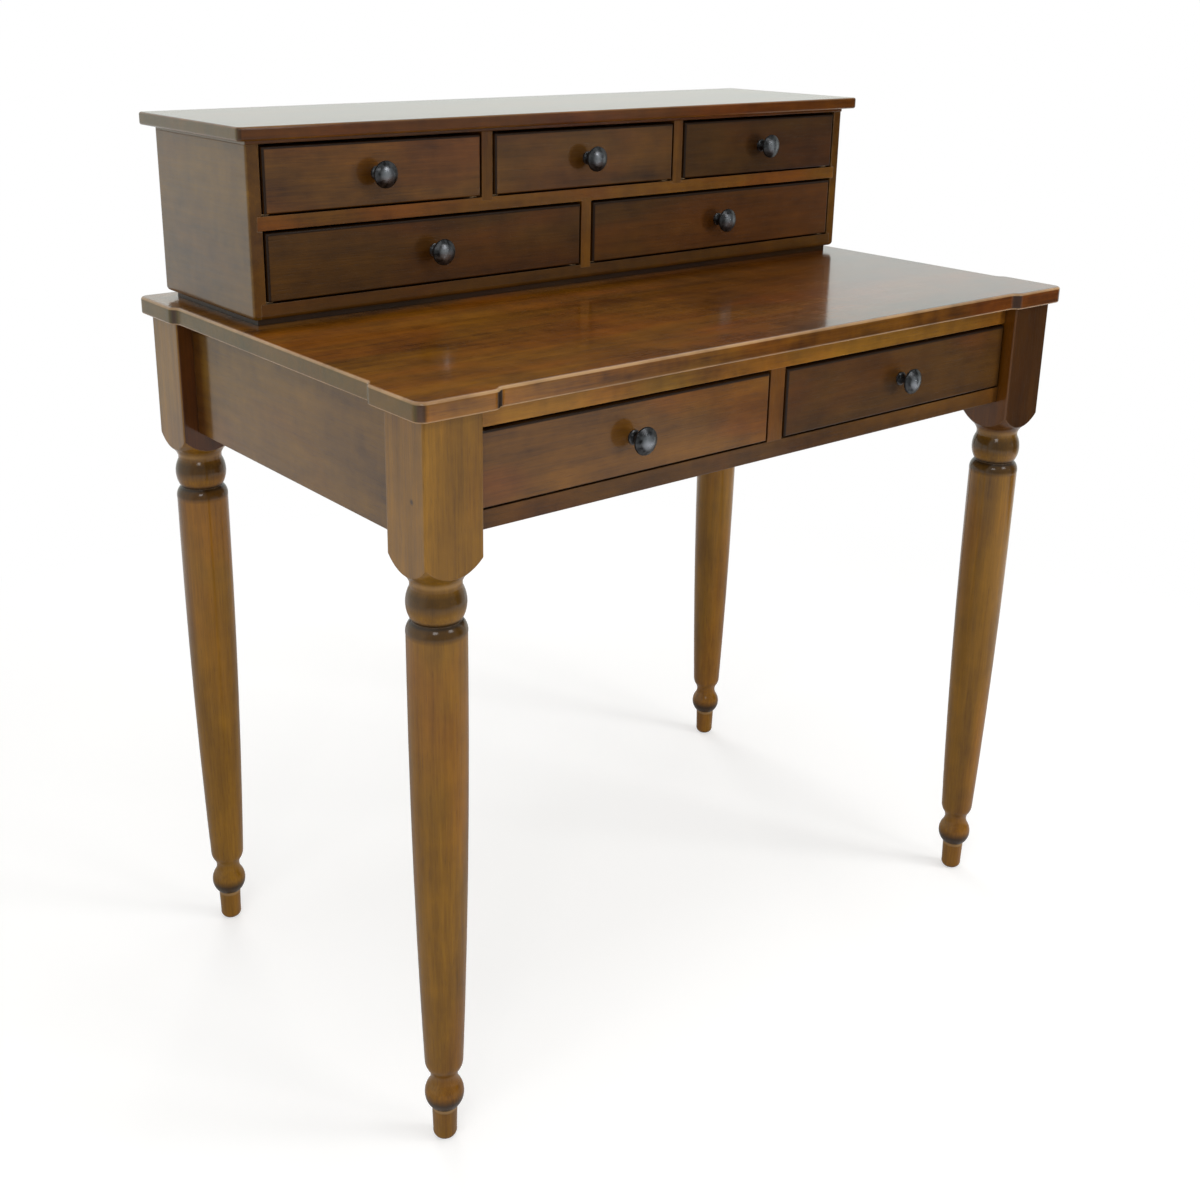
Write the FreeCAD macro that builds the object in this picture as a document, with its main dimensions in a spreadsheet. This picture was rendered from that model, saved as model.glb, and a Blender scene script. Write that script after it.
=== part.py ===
import FreeCAD, Part
import os
import Sketcher

# A small writing desk with a drawer gallery. Millimetres, +Z up, +X to the right, -Y to the front.
# The origin is on the floor, under the middle of the desk.

sizes = {
    # whole desk
    "desk_height": 760,  # floor to the upper face of the desk top
    "post_span_x": 850,  # over the outer faces of the posts
    "post_span_y": 524,
    "post_side": 60,
    "post_edge": 2,  # rounding of the post's long edges
    # desk top
    "top_thick": 18,
    "top_overhang": 4,  # past the posts, between the ears
    "ear_step": 6,  # how much further an ear stands out
    "ear_sweep": 14,  # length of the curved step beside an ear
    "ear_extra": 5,  # ear past the post's inner face
    "ear_corner": 10,
    "top_upper_edge": 3,
    "top_lower_edge": 2,
    # rails, stile and aprons
    "front_recess": 14,  # rails behind the posts' front faces
    "side_recess": 17,
    "back_recess": 10,
    "side_apron_thick": 22,
    "back_apron_thick": 20,
    "apron_height": 122,
    "rail_depth": 60,
    "upper_rail_thick": 20,
    "lower_rail_thick": 18,
    "rail_edge": 1.5,  # rounding of the lower outer edges
    "desk_opening": 74,  # height between the rails
    "stile_width": 20,
    "stile_depth": 22,
    # joints of the frame
    "tenon_thick": 8,
    "tenon_length": 20,
    "apron_shoulder": 20,  # apron above and below its tenon
    "rail_shoulder": 4,
    "rail_tenon_width": 28,
    "rail_tenon_inset": 8,
    "stile_tenon_length": 8,
    "stile_shoulder": 5,
    "joint_fit": 0.1,
    "mortise_relief": 1,  # mortise deeper than its tenon
    # turned leg: heights above the floor
    "pommel_top": 613,
    "pommel_waist": 598,
    "collar_top": 588,
    "collar_base": 584,
    "groove_height": 552.5,  # groove between the ball and the shaft
    "shaft_top": 539,
    "shaft_full": 500,  # the taper begins here
    "shaft_base": 91,
    "cove_top": 80,
    "cove_base": 65,
    "bead_base": 37,
    "peg_round": 9,
    # turned leg: radii
    "pommel_waist_radius": 30,
    "collar_radius": 23.2,
    "ball_radius": 27.1,
    "groove_radius": 22.3,
    "shaft_radius": 27.4,
    "shaft_base_radius": 18.8,
    "cove_radius": 13.2,
    "cove_edge_radius": 15.2,
    "bead_radius": 19.2,
    "peg_top_radius": 12.5,
    "peg_radius": 11.7,
    "foot_radius": 5,
    # curve heights of the turned leg
    "pommel_hollow": 1.0,
    "pommel_swell": 0.8,
    "shaft_swell": 2.1,
    "shoulder_swell": 2.0,
    "shaft_end_swell": 0.9,
    "peg_end_swell": 2.4,
    # runners and kickers
    "runner_width": 41,
    "centre_runner_width": 60,
    "guide_height": 16,
    "guide_gap": 0.5,
    "slide_gap": 0.3,
    "kicker_thick": 11,
    "kicker_gap": 2,
    # buttons and screws under the top
    "button_width": 30,
    "button_length": 22,
    "button_thick": 12,
    "button_tongue": 6.5,
    "button_lip": 6,  # thickness of the tongue
    "button_groove_depth": 8,
    "button_groove_room": 1.5,  # groove wider than the tongue
    "side_button_y": 105,
    "back_button_x": 180,
    "screw_diameter": 4,
    "screw_length": 22,
    "screw_head_diameter": 8.5,
    "screw_head_thick": 3,
    "screw_sink": 0.5,  # head below the face it is let into
    "screw_room": 0.4,
    "slot_width": 1.2,
    "slot_depth": 1.4,
    # gallery
    "gallery_width": 820,
    "gallery_depth": 198,
    "gallery_back_inset": 10,  # behind it to the posts' back faces
    "gallery_board": 13.5,
    "gallery_bottom_thick": 15.5,
    "gallery_lower_opening": 70.5,
    "gallery_upper_opening": 67.5,
    "plinth_height": 6,
    "plinth_inset": 8,
    "housing_depth": 5,
    "divider_housing": 3,
    "gallery_lip": 4,
    "gallery_top_thick": 13,
    "gallery_top_overhang": 13,
    "gallery_top_corner": 5,
    "gallery_top_edge": 2.5,
    "gallery_back_thick": 6,
    "gallery_back_rabbet": 6,
    "gallery_low_round": 5,
    "gallery_side_round": 2.5,
    "gallery_screw_far_x": 330,
    "gallery_screw_near_x": 110,
    "gallery_screw_length": 30,
    # drawers
    "drawer_proud": 1,  # fronts ahead of the rails
    "gap_low": 1.8,
    "gap_top": 2.8,
    "gap_side": 2.8,
    "stop_gap": 0.5,
    "front_round": 1.5,
    "desk_front_thick": 20,
    "desk_side_thick": 10,
    "desk_back_thick": 10,
    "desk_panel_thick": 5,
    "small_front_thick": 14,
    "small_side_thick": 8,
    "small_back_thick": 8,
    "small_panel_thick": 4,
    "front_lap": 7,  # wood left in front of a side's end
    "panel_height": 7,  # drawer bottom above the front's lower edge
    "panel_groove": 4,
    "side_step": 6.5,  # drawer side below the front's upper edge
    "back_step": 4,
    "back_housing": 3,
    "back_inset": 8,
    # knob, turned about its own axis
    "stud_radius": 2,
    "stud_length": 10,
    "knob_seat_radius": 7,
    "knob_seat_thick": 1.6,
    "knob_neck_radius": 4.4,
    "knob_neck_reach": 8,
    "knob_rim_radius": 13,
    "knob_rim_reach": 15.5,
    "knob_rim_thick": 2.2,
    "knob_face_radius": 9.8,
    "knob_face_reach": 19.8,
    "knob_reach": 22.4,
    "knob_neck_hollow": 1.4,
    "knob_back_hollow": 1.6,
    "knob_edge_swell": 0.5,
}

doc = FreeCAD.newDocument("writing_desk")
dims = doc.addObject("Spreadsheet::Sheet", "dims")
for row, (alias, value) in enumerate(sizes.items(), start=1):
    dims.set(f"A{row}", alias)
    dims.set(f"B{row}", str(value))
    dims.setAlias(f"B{row}", alias)
doc.recompute()

sub_parts = []


# ---- helpers: every place and length is an expression of the sheet's sizes ----

def number(expression):
    return float(dims.evalExpression(str(expression)))


def mirrored(low, high):
    return (f"-({high})", f"-({low})")


def on_side(side, low, high):
    return (low, high) if side > 0 else mirrored(low, high)


def around(half_width, centre="0"):
    return (f"({centre}) - ({half_width})", f"({centre}) + ({half_width})")


def new_body(label, place=("0", "0", "0")):
    body = doc.addObject("PartDesign::Body", label)
    body.Label = label
    for axis, expression in zip("xyz", place):
        body.setExpression(f"Placement.Base.{axis}", expression)
    sub_parts.append(body)
    return body


def new_sketch(body, role, height):
    sketch = body.newObject("Sketcher::SketchObject", f"{body.Name}_sketch")
    plane = [feature for feature in body.Origin.OriginFeatures if feature.Role == role][0]
    sketch.AttachmentSupport = [(plane, "")]
    sketch.MapMode = "FlatFace"
    sketch.setExpression("AttachmentOffset.Base.z", height)
    return sketch


def bind(sketch, constraint, name, expression):
    index = sketch.addConstraint(constraint)
    sketch.renameConstraint(index, name)
    sketch.setExpression(f"Constraints.{name}", expression)


def pin_point(sketch, geometry, position, x, y):
    tag = f"g{geometry}p{position}"
    across = Sketcher.Constraint("DistanceX", -1, 1, geometry, position, number(x))
    bind(sketch, across, f"{tag}x", x)
    upward = Sketcher.Constraint("DistanceY", -1, 1, geometry, position, number(y))
    bind(sketch, upward, f"{tag}y", y)


def draw_circle(sketch, x, y, radius):
    centre = FreeCAD.Vector(number(x), number(y), 0)
    circle = Part.Circle(centre, FreeCAD.Vector(0, 0, 1), number(radius))
    index = sketch.addGeometry(circle, False)
    pin_point(sketch, index, 3, x, y)
    bind(sketch, Sketcher.Constraint("Radius", index, number(radius)), f"r{index}", radius)


def draw_outline(sketch, points):
    # A point is (x, y) or (x, y, rise): rise is the height of the arc that leaves the point,
    # positive to the right of the way along the outline, negative to its left.
    corners = [FreeCAD.Vector(number(point[0]), number(point[1]), 0) for point in points]
    ends = []
    radii = []
    for place, point in enumerate(points):
        start = corners[place]
        after = (place + 1) % len(points)
        end = corners[after]
        if len(point) == 2:
            index = sketch.addGeometry(Part.LineSegment(start, end), False)
            ends.append((index, 1, 2))
            continue
        rise = number(point[2])
        chord = end - start
        outward = FreeCAD.Vector(chord.y, -chord.x, 0).normalize()
        middle = (start + end) * 0.5 + outward * rise
        # an arc is stored counterclockwise, so a clockwise one is drawn from its end
        turns_left = rise > 0
        arc = Part.Arc(start, middle, end) if turns_left else Part.Arc(end, middle, start)
        index = sketch.addGeometry(arc, False)
        ends.append((index, 1, 2) if turns_left else (index, 2, 1))
        across = f"(({points[after][0]}) - ({point[0]}))^2 + (({points[after][1]}) - ({point[1]}))^2"
        height = f"abs({point[2]})"
        radii.append((index, f"({across}) / (8 * {height}) + {height} / 2"))
    for place, (index, first, last) in enumerate(ends):
        following = ends[(place + 1) % len(ends)]
        sketch.addConstraint(Sketcher.Constraint("Coincident", index, last, following[0], following[1]))
        pin_point(sketch, index, first, points[place][0], points[place][1])
    for index, expression in radii:
        bind(sketch, Sketcher.Constraint("Radius", index, number(expression)), f"r{index}", expression)


def draw_rectangle(sketch, x, y):
    draw_outline(sketch, [(x[0], y[0]), (x[1], y[0]), (x[1], y[1]), (x[0], y[1])])


def feature(body, kind, sketch, length=None):
    made = body.newObject(f"PartDesign::{kind}", f"{body.Name}_{kind.lower()}")
    made.Profile = sketch
    if length is not None:
        made.setExpression("Length", length)
    return made


def add_plan(body, sketch, length):
    feature(body, "Pad", sketch, length)
    doc.recompute()


def cut_plan(body, sketch, length):
    before = body.Tip.Shape.Volume
    feature(body, "Pocket", sketch, length)
    doc.recompute()
    check_cut(body, before)


def check_cut(body, before):
    if not body.Tip.Shape.Volume < before - 1e-6:
        raise RuntimeError(f"{body.Label}: {body.Tip.Name} removes nothing")


def add_boxes(body, rectangles, z):
    sketch = new_sketch(body, "XY_Plane", z[0])
    for x, y in rectangles:
        draw_rectangle(sketch, x, y)
    add_plan(body, sketch, f"({z[1]}) - ({z[0]})")


def add_box(body, x, y, z):
    add_boxes(body, [(x, y)], z)


def cut_boxes(body, rectangles, z):
    sketch = new_sketch(body, "XY_Plane", z[1])
    for x, y in rectangles:
        draw_rectangle(sketch, x, y)
    cut_plan(body, sketch, f"({z[1]}) - ({z[0]})")


def cut_box(body, x, y, z):
    cut_boxes(body, [(x, y)], z)


def add_rods(body, centres, radius, z):
    sketch = new_sketch(body, "XY_Plane", z[0])
    for x, y in centres:
        draw_circle(sketch, x, y, radius)
    add_plan(body, sketch, f"({z[1]}) - ({z[0]})")


def bore(body, centres, radius, z):
    sketch = new_sketch(body, "XY_Plane", z[1])
    for x, y in centres:
        draw_circle(sketch, x, y, radius)
    cut_plan(body, sketch, f"({z[1]}) - ({z[0]})")


def turn(body, role, outline, kind="Revolution"):
    before = body.Tip.Shape.Volume if body.Tip else 0
    sketch = new_sketch(body, role, "0")
    draw_outline(sketch, outline)
    turned = feature(body, kind, sketch)
    turned.ReferenceAxis = (sketch, ["V_Axis"])
    turned.Angle = 360
    doc.recompute()
    if kind == "Groove":
        check_cut(body, before)


def mirror_x(body):
    plane = [item for item in body.Origin.OriginFeatures if item.Role == "YZ_Plane"][0]
    originals = [item for item in body.Group if item.TypeId in ("PartDesign::Pad", "PartDesign::Pocket")]
    copy = body.newObject("PartDesign::Mirrored", f"{body.Name}_mirrored")
    copy.Originals = originals
    copy.MirrorPlane = (plane, [""])
    body.Tip = copy
    doc.recompute()


def edges_where(shape, **planes):
    # names of the edges whose two ends lie in all of the given planes, as x="...", z="..."
    names = []
    for place, edge in enumerate(shape.Edges, start=1):
        points = [vertex.Point for vertex in edge.Vertexes]
        inside = all(
            abs(getattr(point, axis) - number(expression)) < 0.001
            for axis, expression in planes.items()
            for point in points
        )
        if inside and points:
            names.append(f"Edge{place}")
    return names


def round_edges(body, radius, *groups):
    base = body.Tip
    names = []
    for planes in groups:
        names += [name for name in edges_where(base.Shape, **planes) if name not in names]
    if not names:
        raise RuntimeError(f"{body.Label}: no edge to round")
    fillet = body.newObject("PartDesign::Fillet", f"{body.Name}_round")
    fillet.Base = (base, names)
    fillet.setExpression("Radius", radius)
    doc.recompute()


# ---- faces that several pieces share ----

top_under = "(dims.desk_height - dims.top_thick)"
post_outer_x = "(dims.post_span_x / 2)"
post_inner_x = f"({post_outer_x} - dims.post_side)"
post_outer_y = "(dims.post_span_y / 2)"
post_inner_y = f"({post_outer_y} - dims.post_side)"
leg_x = f"({post_outer_x} - dims.post_side / 2)"
leg_y = f"({post_outer_y} - dims.post_side / 2)"
rail_front = f"(dims.front_recess - {post_outer_y})"
rail_back = f"({rail_front} + dims.rail_depth)"
upper_rail_low = f"({top_under} - dims.upper_rail_thick)"
opening_low = f"({upper_rail_low} - dims.desk_opening)"
lower_rail_low = f"({opening_low} - dims.lower_rail_thick)"
side_outer = f"({post_outer_x} - dims.side_recess)"
side_inner = f"({side_outer} - dims.side_apron_thick)"
back_outer = f"({post_outer_y} - dims.back_recess)"
back_inner = f"({back_outer} - dims.back_apron_thick)"
apron_low = f"({top_under} - dims.apron_height)"
apron_tenon_z = (f"{apron_low} + dims.apron_shoulder", f"{top_under} - dims.apron_shoulder")
side_tenon_x = around("dims.tenon_thick / 2", f"{side_outer} - dims.side_apron_thick / 2")
back_tenon_y = around("dims.tenon_thick / 2", f"{back_outer} - dims.back_apron_thick / 2")
rail_tenon_y = (
    f"{rail_front} + dims.rail_tenon_inset",
    f"{rail_front} + dims.rail_tenon_inset + dims.rail_tenon_width",
)
upper_tenon_z = (f"{upper_rail_low} + dims.rail_shoulder", f"{top_under} - dims.rail_shoulder")
lower_tenon_z = (f"{lower_rail_low} + dims.rail_shoulder", f"{opening_low} - dims.rail_shoulder")
stile_tenon_x = around("dims.stile_width / 2 - dims.stile_shoulder")
stile_tenon_y = (
    f"{rail_front} + dims.stile_shoulder",
    f"{rail_front} + dims.stile_depth - dims.stile_shoulder",
)
groove_z = (
    f"({top_under} - dims.button_thick - dims.button_groove_room)",
    f"({top_under} - dims.button_thick + dims.button_lip)",
)
button_low = f"({top_under} - dims.button_thick)"
head_low = f"({button_low} + dims.screw_sink)"
head_high = f"({head_low} + dims.screw_head_thick)"
screw_tip = f"({head_high} + dims.screw_length)"
side_button_reach = f"({side_inner} - dims.button_length / 2)"
back_button_reach = f"({back_inner} - dims.button_length / 2)"
head_room = "dims.screw_head_diameter / 2 + dims.screw_room"
shank_room = "dims.screw_diameter / 2 + dims.joint_fit"
button_centres = [
    (side_button_reach, "dims.side_button_y"),
    (side_button_reach, "-dims.side_button_y"),
    (f"-{side_button_reach}", "dims.side_button_y"),
    (f"-{side_button_reach}", "-dims.side_button_y"),
    ("dims.back_button_x", back_button_reach),
    ("-dims.back_button_x", back_button_reach),
]
rail_screws = [
    ("dims.back_button_x", f"{rail_front} + dims.rail_depth / 2"),
    ("-dims.back_button_x", f"{rail_front} + dims.rail_depth / 2"),
]

# gallery heights above the desk top, and its faces in its own frame
gallery_half = "(dims.gallery_width / 2)"
gallery_inner = f"({gallery_half} - dims.gallery_board)"
gallery_back_face = "(dims.gallery_depth - dims.gallery_back_thick)"
gallery_low = "dims.plinth_height"
lower_floor = f"({gallery_low} + dims.gallery_bottom_thick)"
shelf_low = f"({lower_floor} + dims.gallery_lower_opening)"
upper_floor = f"({shelf_low} + dims.gallery_board)"
gallery_ceiling = f"({upper_floor} + dims.gallery_upper_opening)"
upper_bay = f"((2 * {gallery_inner} - 2 * dims.gallery_board) / 3)"
lower_bay = f"((2 * {gallery_inner} - dims.gallery_board) / 2)"
divider_x = f"(({upper_bay} + dims.gallery_board) / 2)"
gallery_place = (
    "0",
    f"{post_outer_y} - dims.gallery_back_inset - dims.gallery_depth",
    "dims.desk_height",
)
gallery_screw_y = "dims.gallery_depth / 2"
gallery_screws_at = [
    ("dims.gallery_screw_far_x", gallery_screw_y),
    ("dims.gallery_screw_near_x", gallery_screw_y),
    ("-dims.gallery_screw_near_x", gallery_screw_y),
    ("-dims.gallery_screw_far_x", gallery_screw_y),
]
gallery_head_low = "(-dims.top_thick + dims.screw_sink)"
gallery_head_high = f"({gallery_head_low} + dims.screw_head_thick)"
gallery_screw_tip = f"({gallery_head_high} + dims.gallery_screw_length)"


# ---- legs ----

def leg_outline():
    # half section of the turned part, from the floor up, radius across and height up
    bead_rise = "dims.bead_radius - (dims.peg_top_radius + dims.cove_edge_radius) / 2"
    cove_drop = "dims.cove_radius - dims.cove_edge_radius"
    ball_rise = "dims.ball_radius - (dims.groove_radius + dims.collar_radius) / 2"
    return [
        ("0", "0"),
        ("dims.foot_radius", "0", "dims.peg_end_swell"),
        ("dims.peg_radius", "dims.peg_round"),
        ("dims.peg_top_radius", "dims.bead_base", bead_rise),
        ("dims.cove_edge_radius", "dims.cove_base", cove_drop),
        ("dims.cove_edge_radius", "dims.cove_top", "dims.shaft_end_swell"),
        ("dims.shaft_base_radius", "dims.shaft_base", "dims.shaft_swell"),
        ("dims.shaft_radius", "dims.shaft_full"),
        ("dims.shaft_radius", "dims.shaft_top", "dims.shoulder_swell"),
        ("dims.groove_radius", "dims.groove_height", ball_rise),
        ("dims.collar_radius", "dims.collar_base"),
        ("dims.collar_radius", "dims.collar_top"),
        ("0", "dims.collar_top"),
    ]


def pommel_outline():
    # what the lathe takes off the square post's lower end
    corner_radius = "(dims.post_side / sqrt(2))"
    clear_radius = f"({corner_radius} + dims.post_side / 4)"
    return [
        ("dims.collar_radius", "dims.collar_top", "-dims.pommel_hollow"),
        ("dims.pommel_waist_radius", "dims.pommel_waist", "dims.pommel_swell"),
        (corner_radius, "dims.pommel_top"),
        (clear_radius, "dims.pommel_top"),
        (clear_radius, "dims.collar_top"),
    ]


def mortise(body, x, y, z, open_along):
    # a tenon's own box with the joint's fit around it; the mouth stays on the post's face
    grown_z = (f"{z[0]} - dims.joint_fit", f"{z[1]} + dims.joint_fit")
    if open_along == "x":
        y = (f"{y[0]} - dims.joint_fit", f"{y[1]} + dims.joint_fit")
    else:
        x = (f"{x[0]} - dims.joint_fit", f"{x[1]} + dims.joint_fit")
    cut_box(body, x, y, grown_z)


def make_leg(label, side, end):
    # side is +1 on the right, end is +1 at the back
    centre_x = f"{side} * {leg_x}"
    centre_y = f"{end} * {leg_y}"
    body = new_body(label, (centre_x, centre_y, "0"))
    half = "dims.post_side / 2"
    add_box(body, around(half), around(half), ("dims.collar_top", top_under))
    corner_lines = [
        {"x": sign_x + half, "y": sign_y + half} for sign_x in ("", "-") for sign_y in ("", "-")
    ]
    round_edges(body, "dims.post_edge", *corner_lines)
    turn(body, "XZ_Plane", leg_outline())
    turn(body, "XZ_Plane", pommel_outline(), "Groove")

    # mortise for the side apron, in the face towards the other leg of this side
    reach = "dims.tenon_length + dims.mortise_relief"
    local_x = tuple(f"({edge}) - {leg_x}" for edge in side_tenon_x)
    inner_y = (f"{half} - ({reach})", half)
    mortise(body, on_side(side, *local_x), on_side(-end, *inner_y), apron_tenon_z, "y")

    # mortises in the face towards the middle of the desk
    inner_x = on_side(-side, f"{half} - ({reach})", half)
    if end > 0:
        local_y = tuple(f"({edge}) - {leg_y}" for edge in back_tenon_y)
        mortise(body, inner_x, local_y, apron_tenon_z, "x")
    else:
        local_y = tuple(f"({edge}) + {leg_y}" for edge in rail_tenon_y)
        mortise(body, inner_x, local_y, upper_tenon_z, "x")
        mortise(body, inner_x, local_y, lower_tenon_z, "x")


# ---- aprons, rails and stile ----

def make_side_apron(label, side):
    body = new_body(label)
    add_box(body, on_side(side, side_inner, side_outer), around(post_inner_y), (apron_low, top_under))
    outer = side_outer if side > 0 else f"-{side_outer}"
    round_edges(body, "dims.rail_edge", {"x": outer, "z": apron_low})
    tenon_reach = f"{post_inner_y} + dims.tenon_length"
    ends = [(on_side(side, *side_tenon_x), (post_inner_y, tenon_reach))]
    ends.append((on_side(side, *side_tenon_x), mirrored(post_inner_y, tenon_reach)))
    add_boxes(body, ends, apron_tenon_z)
    groove_x = on_side(side, side_inner, f"{side_inner} + dims.button_groove_depth")
    cut_box(body, groove_x, around(post_inner_y), groove_z)


def make_back_apron():
    body = new_body("back_apron")
    add_box(body, around(post_inner_x), (back_inner, back_outer), (apron_low, top_under))
    round_edges(body, "dims.rail_edge", {"y": back_outer, "z": apron_low})
    tenon_reach = f"{post_inner_x} + dims.tenon_length"
    ends = [((post_inner_x, tenon_reach), back_tenon_y), (mirrored(post_inner_x, tenon_reach), back_tenon_y)]
    add_boxes(body, ends, apron_tenon_z)
    groove_y = (back_inner, f"{back_inner} + dims.button_groove_depth")
    cut_box(body, around(post_inner_x), groove_y, groove_z)


def make_rail(label, low, high, tenon_z):
    body = new_body(label)
    add_box(body, around(post_inner_x), (rail_front, rail_back), (low, high))
    tenon_reach = f"{post_inner_x} + dims.tenon_length"
    ends = [((post_inner_x, tenon_reach), rail_tenon_y), (mirrored(post_inner_x, tenon_reach), rail_tenon_y)]
    add_boxes(body, ends, tenon_z)
    return body


def cut_stile_mortise(body, z):
    grown_x = (f"{stile_tenon_x[0]} - dims.joint_fit", f"{stile_tenon_x[1]} + dims.joint_fit")
    grown_y = (f"{stile_tenon_y[0]} - dims.joint_fit", f"{stile_tenon_y[1]} + dims.joint_fit")
    cut_box(body, grown_x, grown_y, z)


def make_front_frame():
    reach = "dims.stile_tenon_length + dims.mortise_relief"
    upper = make_rail("front_rail_upper", upper_rail_low, top_under, upper_tenon_z)
    cut_stile_mortise(upper, (upper_rail_low, f"{upper_rail_low} + {reach}"))
    bore(upper, rail_screws, head_room, (upper_rail_low, head_high))
    bore(upper, rail_screws, shank_room, (head_high, top_under))
    lower = make_rail("front_rail_lower", lower_rail_low, opening_low, lower_tenon_z)
    round_edges(lower, "dims.rail_edge", {"y": rail_front, "z": lower_rail_low})
    cut_stile_mortise(lower, (f"{opening_low} - ({reach})", opening_low))

    stile = new_body("front_centre_stile")
    stile_y = (rail_front, f"{rail_front} + dims.stile_depth")
    add_box(stile, around("dims.stile_width / 2"), stile_y, (opening_low, upper_rail_low))
    tenon_z = (f"{opening_low} - dims.stile_tenon_length", f"{upper_rail_low} + dims.stile_tenon_length")
    add_box(stile, stile_tenon_x, stile_tenon_y, tenon_z)


# ---- desk top ----

def mirrored_path(points, sign_x, sign_y):
    # run backwards, so that it still goes counterclockwise; an arc then leaves from its other end
    path = []
    for place in reversed(range(len(points))):
        arc = points[place - 1][2:] if place > 0 else ()
        path.append((sign_x + points[place][0], sign_y + points[place][1], *arc))
    return path


def top_outline():
    # one ear per post: a round corner, and at each end a curved step back to the straight edge
    edge_x = f"({post_outer_x} + dims.top_overhang)"
    edge_y = f"({post_outer_y} + dims.top_overhang)"
    ear_x = f"({edge_x} + dims.ear_step)"
    ear_y = f"({edge_y} + dims.ear_step)"
    ear_start_x = f"({post_inner_x} - dims.ear_extra)"
    ear_start_y = f"({post_inner_y} - dims.ear_extra)"
    corner_rise = "dims.ear_corner * (1 - sqrt(2) / 2)"
    step_length = "sqrt(dims.ear_sweep ^ 2 + dims.ear_step ^ 2)"
    sweep_rise = f"({step_length} * ({step_length} - dims.ear_sweep) / (4 * dims.ear_step))"
    quarter = [
        (edge_x, f"({ear_start_y} - dims.ear_sweep)", f"-{sweep_rise}"),
        (f"({edge_x} + dims.ear_step / 2)", f"({ear_start_y} - dims.ear_sweep / 2)", sweep_rise),
        (ear_x, ear_start_y),
        (ear_x, f"({ear_y} - dims.ear_corner)", corner_rise),
        (f"({ear_x} - dims.ear_corner)", ear_y),
        (ear_start_x, ear_y, sweep_rise),
        (f"({ear_start_x} - dims.ear_sweep / 2)", f"({edge_y} + dims.ear_step / 2)", f"-{sweep_rise}"),
        (f"({ear_start_x} - dims.ear_sweep)", edge_y),
    ]
    back_left = mirrored_path(quarter, "-", "")
    front_left = [(f"-{point[0]}", f"-{point[1]}", *point[2:]) for point in quarter]
    front_right = mirrored_path(quarter, "", "-")
    return quarter + back_left + front_left + front_right


def make_desk_top():
    body = new_body("desk_top")
    sketch = new_sketch(body, "XY_Plane", top_under)
    draw_outline(sketch, top_outline())
    add_plan(body, sketch, "dims.top_thick")
    round_edges(body, "dims.top_upper_edge", {"z": "dims.desk_height"})
    round_edges(body, "dims.top_lower_edge", {"z": top_under})
    bore(body, button_centres + rail_screws, shank_room, (top_under, f"{screw_tip} + dims.joint_fit"))
    holes = [(x, f"{gallery_place[1]} + {y}") for x, y in gallery_screws_at]
    head_top = f"dims.desk_height + {gallery_head_high}"
    bore(body, holes, head_room, (top_under, head_top))
    bore(body, holes, shank_room, (head_top, "dims.desk_height"))


# ---- runners, kickers and what holds the top ----

def drawer_side_clear():
    # outer faces of a desk drawer's sides: next to the legs and next to the stile
    return (f"({post_inner_x} - dims.gap_side)", "(dims.stile_width / 2 + dims.gap_side)")


def make_runners():
    outer_face, inner_face = drawer_side_clear()
    runner_z = (lower_rail_low, opening_low)
    guide_z = (opening_low, f"{opening_low} + dims.guide_height")
    body = new_body("drawer_runners")
    side_x = (f"{side_inner} - dims.runner_width", side_inner)
    add_box(body, side_x, (rail_back, post_inner_y), runner_z)
    guide_x = (f"{outer_face} + dims.guide_gap", side_inner)
    add_box(body, guide_x, (rail_back, post_inner_y), guide_z)
    centre_x = ("0", "dims.centre_runner_width / 2")
    add_box(body, centre_x, (rail_back, back_inner), runner_z)
    add_box(body, ("0", f"{inner_face} - dims.guide_gap"), (rail_back, back_inner), guide_z)
    mirror_x(body)


def make_kickers():
    low = f"({upper_rail_low} - dims.gap_top - dims.side_step + dims.kicker_gap)"
    kicker_z = (low, f"{low} + dims.kicker_thick")
    body = new_body("drawer_kickers")
    add_box(body, (f"{side_inner} - dims.runner_width", side_inner), (rail_back, post_inner_y), kicker_z)
    add_box(body, ("0", "dims.centre_runner_width / 2"), (rail_back, back_inner), kicker_z)
    mirror_x(body)


def make_buttons():
    body = new_body("top_buttons")
    blocks = []
    tongues = []
    for end in (1, -1):
        y = around("dims.button_width / 2", f"{end} * dims.side_button_y")
        for side in (1, -1):
            blocks.append((on_side(side, f"{side_inner} - dims.button_length", side_inner), y))
            tongues.append((on_side(side, side_inner, f"{side_inner} + dims.button_tongue"), y))
    for side in (1, -1):
        x = around("dims.button_width / 2", f"{side} * dims.back_button_x")
        blocks.append((x, (f"{back_inner} - dims.button_length", back_inner)))
        tongues.append((x, (back_inner, f"{back_inner} + dims.button_tongue")))
    tongue_high = f"{button_low} + dims.button_lip"
    add_boxes(body, blocks, (button_low, top_under))
    add_boxes(body, tongues, (button_low, tongue_high))
    bore(body, button_centres, head_room, (button_low, head_high))
    bore(body, button_centres, shank_room, (head_high, top_under))


def make_screws(label, centres, low, high, tip, place=("0", "0", "0")):
    body = new_body(label, place)
    add_rods(body, centres, "dims.screw_head_diameter / 2", (low, high))
    add_rods(body, centres, "dims.screw_diameter / 2", (high, tip))
    slots = []
    for x, y in centres:
        slots.append((around("dims.screw_head_diameter / 2", x), around("dims.slot_width / 2", y)))
    cut_boxes(body, slots, (low, f"{low} + dims.slot_depth"))


# ---- gallery, in its own frame: y = 0 on its front face, z = 0 on the desk top ----

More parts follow.
